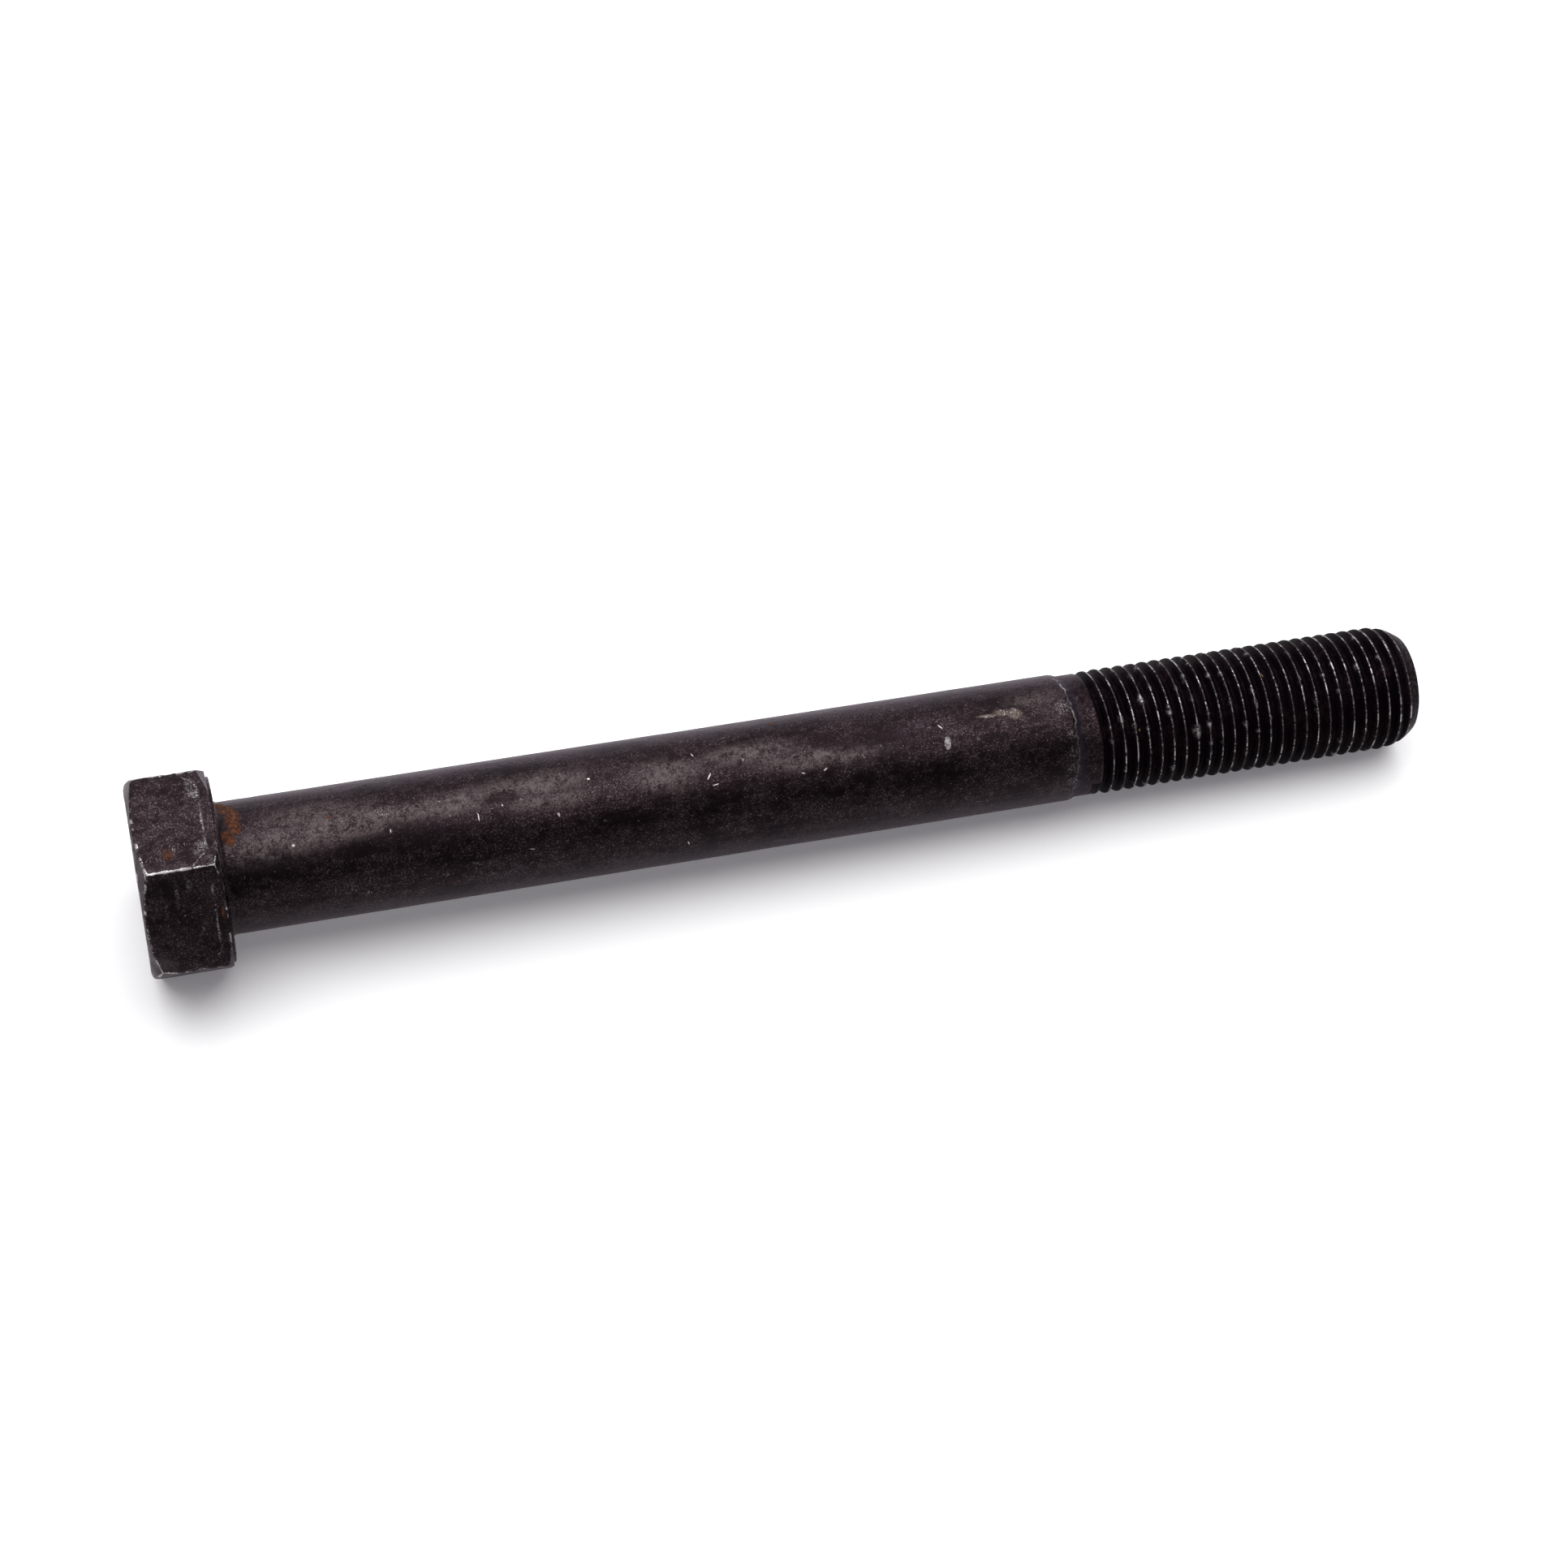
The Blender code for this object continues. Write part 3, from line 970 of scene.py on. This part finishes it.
def head_material():
    graph = Graph("forged_head")
    finish, height = black_coat(graph, streak_length=1.5)
    steel = bare_steel(graph)
    edge = graph.attribute("edge")
    dent = graph.attribute("dent")
    ragged = graph.noise(0.24, detail=4.0, roughness=0.85)
    patchy = graph.noise(1.8, detail=4.0, roughness=0.6)
    specks = graph.step(graph.add(ragged, graph.times(patchy, 0.6)), 0.79, 0.92)

    # The chamfer round the top face is rubbed paler than the flats.
    squares = graph.add(graph.times(graph.y, graph.y), graph.times(graph.z, graph.z))
    radius = graph.math("SQRT", squares)
    chamfer_rise = graph.times(graph.add(radius, -TOP_FACE_RADIUS), TOP_CHAMFER_SLOPE)
    over_chamfer = graph.add(graph.x, -TOP_FACE, graph.times(chamfer_rise, -1.0))
    beyond_face = graph.step(radius, TOP_FACE_RADIUS - 0.3, TOP_FACE_RADIUS)
    chamfer = graph.times(graph.step(over_chamfer, 0.12, -0.02), beyond_face)
    pale = graph.times(chamfer, graph.step(graph.add(ragged, patchy), 0.80, 1.15), CHAMFER_RUBBED)
    chipped = graph.times(dent, graph.step(ragged, 0.30, 0.60), CHIPS_RUBBED)
    pale = graph.either(pale, chipped)
    finish = graph.cover(finish, Finish(HANDLED_COAT, COAT_METALLIC, 0.45), pale)

    # A dotted line is rubbed along each flat, a little above the bearing face, and bends back
    # towards the top face beside the corners.
    sector = graph.add(graph.math("FRACT", graph.times(around_axis(graph), 6.0 / TURN)), -0.5)
    lean = graph.math("TANGENT", graph.times(graph.math("ABSOLUTE", sector), TURN / 6.0))
    bend = graph.times(graph.step(lean, 0.36, 0.60), RUBBED_LINE_BEND)
    off_line = graph.add(graph.x, bend, graph.times(patchy, 0.8), -RUBBED_LINE)
    rubbed = graph.step(graph.math("ABSOLUTE", off_line), 0.24, 0.08)
    rubbed = graph.times(rubbed, specks)
    scattered = marks(graph, HEAD_SPECKS, FLAT_DISTANCE, patchy, softness=0.4)
    rubbed = graph.either(rubbed, graph.times(scattered, specks, 0.6))
    finish = graph.cover(finish, steel, rubbed, FLATS_RUBBED)

    # The edges are worn to bare metal in dashes. The washer face is sheltered by the hexagon.
    # Wear is raised along the corner at 120. The bare metal there is partly edge wear and partly a
    # painted highlight along the rounded corner.
    away = graph.math("ABSOLUTE", graph.add(around_axis(graph), -CORNER_WEAR_AND_GLINT))
    corner_wear_and_glint = graph.step(away, math.radians(7.0), math.radians(3.0), 0.0, 0.30)
    wear = graph.add(graph.times(graph.math("POWER", edge, 2.0), 1.2), graph.times(dent, 0.6))
    wear = graph.add(wear, graph.times(ragged, 2.4), graph.times(patchy, 2.0), corner_wear_and_glint)
    wear = graph.add(wear, graph.step(graph.x, HEXAGON_END, HEXAGON_END + 0.1, 0.0, -0.6))
    bared = graph.step(wear, 3.58, 3.95)
    finish = graph.cover(finish, steel, bared, EDGES_BARED)
    finish = graph.cover(finish, steel, stray_flecks(graph), HEAD_SCRATCHED)
    rusty = marks(graph, HEAD_RUST, FLAT_DISTANCE, ragged, softness=0.5)
    finish = graph.cover(finish, rust(graph), rusty, HEAD_RUSTED)
    return graph.shade(finish, height, COAT_REFRACTION)


def shank_material():
    graph = Graph("drawn_shank")
    finish, height = black_coat(graph, streak_length=7.0)
    steel = bare_steel(graph)
    fine = graph.noise(0.38, detail=4.0, roughness=0.8)
    medium = graph.noise(1.6, detail=5.0, roughness=0.7)

    # Handling has rubbed the coat paler in patches, and a few patches stayed darker.
    handled = marks(graph, HANDLED_PATCHES, SHANK_RADIUS, medium, softness=0.6)
    mottled = graph.step(graph.add(graph.times(medium, 0.5), graph.times(fine, 0.5)), 0.43, 0.58)
    handled = graph.times(handled, mottled)
    finish = graph.cover(finish, Finish(HANDLED_COAT, COAT_METALLIC, 0.46), handled, HANDLED)
    dark = marks(graph, DARK_PATCHES, SHANK_RADIUS, medium, softness=0.5)
    finish = graph.cover(finish, Finish(BLACK_COAT, COAT_METALLIC, 0.5), dark, DARKENED)

    # Scratches, rows of specks and single ticks show bare metal.
    finish = graph.cover(finish, steel, stray_flecks(graph), SHANK_SCRATCHED)
    rows = marks(graph, SPECKLED_ROWS, SHANK_RADIUS, medium, softness=0.4)
    rows = graph.times(rows, graph.step(fine, 0.56, 0.66))
    finish = graph.cover(finish, steel, rows, ROWS_BARED)
    ticks = marks(graph, SHARP_TICKS, SHANK_RADIUS, fine)
    finish = graph.cover(finish, steel, ticks, TICKS_BARED)
    oval = marks(graph, (OVAL_DENT,), SHANK_RADIUS, graph.times(fine, 0.6), softness=0.15)
    oval = graph.times(oval, graph.step(fine, 0.40, 0.66, 0.08, 0.45))
    finish = graph.cover(finish, steel, oval)

    # The shank's end is scuffed, and its edge is worn to bright metal on one stretch.
    scuffs = marks(graph, SHANK_END_SCUFFS, SHANK_RADIUS, graph.times(medium, 1.2), softness=0.4)
    scuffs = graph.times(scuffs, graph.step(fine, 0.50, 0.62))
    finish = graph.cover(finish, steel, scuffs, SHANK_END_SCUFFED)
    edge = graph.attribute("edge")
    away = graph.math("ABSOLUTE", graph.add(around_axis(graph), -BRIGHT_EDGE))
    bright = graph.step(away, math.radians(34.0), math.radians(18.0), 0.15, 0.9)
    rim = graph.add(edge, graph.times(fine, 1.6), graph.times(medium, 1.2))
    rim = graph.step(rim, 2.15, 2.45)
    finish = graph.cover(finish, steel, graph.times(rim, bright))

    pale = marks(graph, PALE_SCUFF, SHANK_RADIUS, graph.times(fine, 1.2), softness=0.4)
    scuffed = graph.times(pale, graph.step(fine, 0.32, 0.54))
    finish = graph.cover(finish, pale_scuff(graph), scuffed, PALE_SCUFFED)
    rusty = marks(graph, UNDERHEAD_RUST, SHANK_RADIUS, graph.times(fine, 0.6), softness=0.35)
    rusty = graph.either(rusty, marks(graph, RUST_DOTS, SHANK_RADIUS, fine))
    finish = graph.cover(finish, rust(graph), rusty, SHANK_RUSTED)
    return graph.shade(finish, height, COAT_REFRACTION)


def thread_material():
    graph = Graph("rolled_thread")
    angle = around_axis(graph)
    ragged = graph.noise(0.5, detail=4.0, roughness=0.75)
    patchy = graph.noise(3.2, detail=3.0)
    steel = bare_steel(graph)

    # The neck has the shank's coat and ends along the first groove.
    first_groove = graph.add(graph.x, graph.times(angle, -NECK_END_LEAD / TURN), -NECK_END_AT_TOP)
    neck = graph.step(graph.add(first_groove, graph.times(ragged, 0.3)), 0.30, 0.0)
    plain, plain_height = black_coat(graph, streak_length=0.5)
    past_edge = graph.step(graph.x, SHANK_END + 2.0, SHANK_END + 0.5)
    neck_finish = Finish(NECK_COAT, COAT_METALLIC, 0.5)
    plain = graph.cover(plain, neck_finish, past_edge, NECK_SHADED)
    oiled, oiled_height = oiled_coat(graph)
    finish = graph.cover(oiled, plain, neck)
    height = graph.mix(neck, oiled_height, plain_height)

    # Worn crest lines follow the thread, broader near the tip, and stop short of its end face.
    # Place is the distance from the nearest crest, along the axis.
    turns = graph.add(graph.times(graph.x, 1 / PITCH), graph.times(angle, -1 / TURN))
    phase = graph.add(turns, 0.75 - CREST_AT_TOP / PITCH)
    place = graph.times(graph.add(graph.math("FRACT", phase), -0.5), PITCH)
    usual_width, tip_width = 0.14, 0.24
    broader = (THREAD_END - 7.0, THREAD_END - 3.0)
    crest_width = graph.step(graph.x, *broader, usual_width, tip_width)
    crest = graph.step(graph.math("ABSOLUTE", graph.add(place, 0.04)), crest_width, 0.03)
    threaded = graph.step(graph.x, CREST_RISE_START + 0.8, CREST_RISE_END)
    threaded = graph.times(threaded, graph.step(graph.x, THREAD_END - 0.8, THREAD_END - 1.4))
    crest = graph.times(crest, threaded)
    dusty = graph.times(crest, graph.step(ragged, 0.30, 0.62))
    finish = graph.cover(finish, Finish(WORN_COAT, 0.5, 0.45), dusty, CRESTS_DUSTED)
    worn = graph.times(crest, graph.step(graph.add(ragged, patchy), 1.0, 1.2))
    worn = graph.either(worn, graph.times(graph.attribute("dent"), graph.step(ragged, 0.4, 0.6)))

    # The tip's chamfer is rubbed paler before the crests and the shank's edge are bared.
    tip = graph.step(graph.x, CHAMFER_START - 1.0, THREAD_END - 0.4)
    tip = graph.times(tip, graph.step(ragged, 0.42, 0.60))
    finish = graph.cover(finish, Finish(MAUVE_COAT, 0.5, 0.4), tip, TIP_RUBBED)
    finish = graph.cover(finish, steel, worn, CRESTS_BARED)
    rim = graph.step(graph.add(graph.attribute("edge"), graph.times(ragged, 1.4)), 1.55, 1.85)
    near_shank = graph.step(graph.x, SHANK_END + 1.4, SHANK_END + 0.6)
    finish = graph.cover(finish, steel, graph.times(rim, near_shank), NECK_RIM_BARED)
    flecks = marks(graph, YELLOW_FLECKS, CREST_RADIUS, graph.times(ragged, 1.2))
    finish = graph.cover(finish, Finish(YELLOW_PAINT, 0.0, 0.6), flecks, PAINTED)
    return graph.shade(finish, height, OIL_REFRACTION)


# ---- studio

FLOOR_HALF_SIZE = 9000.0
FLOOR_COLOUR = (0.62, 0.62, 0.62)
# The floor's glow grows from the bolt's axis to FLOOR_GLOW_RISE behind it.
FLOOR_GLOW_COLOUR = (0.97, 0.92, 1.0)
FLOOR_GLOW_FRONT = 0.17
FLOOR_GLOW_BACK = 1.0
FLOOR_GLOW_RISE = 120.0


def ramp_along_y(tree, coordinate, *limits):
    """Goes smoothly between two levels, limits 3 and 4, as Y goes from limit 1 to limit 2."""
    place = tree.nodes.new("ShaderNodeSeparateXYZ")
    tree.links.new(tree.nodes.new("ShaderNodeTexCoord").outputs[coordinate], place.inputs[0])
    ramp = tree.nodes.new("ShaderNodeMapRange")
    ramp.interpolation_type = "SMOOTHSTEP"
    for socket, value in enumerate(limits, start=1):
        ramp.inputs[socket].default_value = value
    tree.links.new(place.outputs["Y"], ramp.inputs["Value"])
    return ramp.outputs[0]


def make_floor():
    """A pale light table, brighter behind the bolt, which lies on its head and its thread's end."""
    head_contact = Vector((HEXAGON_END, 0.0, -FLAT_DISTANCE))
    tip_contact = Vector((THREAD_END - END_TAPER_LENGTH, 0.0, -CREST_RADIUS))
    along = (tip_contact - head_contact).normalized()
    sideways = Vector((0.0, 1.0, 0.0))
    corners = []
    for forward, side in ((-1, -1), (1, -1), (1, 1), (-1, 1)):
        corners.append(head_contact + (along * forward + sideways * side) * FLOOR_HALF_SIZE)
    mesh = bpy.data.meshes.new("floor")
    mesh.from_pydata([corner * MM for corner in corners], [], [(0, 1, 2, 3)])
    material = bpy.data.materials.new("pale_floor")
    material.use_nodes = True
    tree = material.node_tree
    shader = tree.nodes["Principled BSDF"]
    shader.inputs["Base Color"].default_value = (*FLOOR_COLOUR, 1.0)
    shader.inputs["Roughness"].default_value = 0.9
    shader.inputs["Emission Color"].default_value = (*FLOOR_GLOW_COLOUR, 1.0)
    limits = (0.0, FLOOR_GLOW_RISE * MM, FLOOR_GLOW_FRONT, FLOOR_GLOW_BACK)
    glow = ramp_along_y(tree, "Object", *limits)
    tree.links.new(glow, shader.inputs["Emission Strength"])
    mesh.materials.append(material)
    new_object("floor", mesh)


LIGHT_ANGLE = 78.0
LIGHT_SPREAD = 70.0
LIGHT_STRENGTH = 4.5
# The room's brightness in front of the bolt and behind it, and where along Y it changes.
FRONT_LEVEL = 0.035
BACK_LEVEL = 0.72
FRONT_LIMIT = -0.75
BACK_LIMIT = 0.15


def make_light():
    """One broad soft light overhead, in a room that is pale behind the bolt and dark in front."""
    lamp = bpy.data.lights.new("overhead", "SUN")
    lamp.energy = LIGHT_STRENGTH
    lamp.angle = math.radians(LIGHT_SPREAD)
    holder = new_object("overhead", lamp)
    direction = Vector(on_bolt(0.0, LIGHT_ANGLE, 1.0))
    holder.rotation_euler = direction.to_track_quat("Z", "Y").to_euler()
    world = bpy.data.worlds.new("room")
    bpy.context.scene.world = world
    world.use_nodes = True
    tree = world.node_tree
    background = tree.nodes["Background"]
    background.inputs["Color"].default_value = (1.0, 1.0, 1.0, 1.0)
    level = ramp_along_y(tree, "Generated", FRONT_LIMIT, BACK_LIMIT, FRONT_LEVEL, BACK_LEVEL)
    tree.links.new(level, background.inputs["Strength"])


CAMERA_AZIMUTH = -20.6563
CAMERA_ELEVATION = 55.6762
CAMERA_ROLL = 8.3458
CAMERA_DISTANCE = 502.0
CAMERA_TARGET = Vector((99.85, 0.0, -0.99))
CAMERA_LENS = 74.35
SENSOR_WIDTH = 36.0


def make_camera():
    """Looks down on the bolt from its front left, with the head on the left of the picture."""
    facing = Matrix.Identity(4)
    turns = ((CAMERA_AZIMUTH, "Z"), (90.0 - CAMERA_ELEVATION, "X"), (CAMERA_ROLL, "Z"))
    for angle, axis in turns:
        facing = facing @ Matrix.Rotation(math.radians(angle), 4, axis)
    place = CAMERA_TARGET + facing.col[2].to_3d() * CAMERA_DISTANCE
    data = bpy.data.cameras.new("camera")
    data.lens = CAMERA_LENS
    data.sensor_width = SENSOR_WIDTH
    data.clip_start = 0.01
    data.clip_end = 100.0
    camera = new_object("camera", data)
    camera.matrix_world = Matrix.Translation(place * MM) @ facing
    bpy.context.scene.camera = camera


make_camera()
make_light()
make_floor()
make_head(head_material())
make_shank(shank_material())
make_thread(thread_material())
bpy.context.scene.view_settings.view_transform = "Standard"
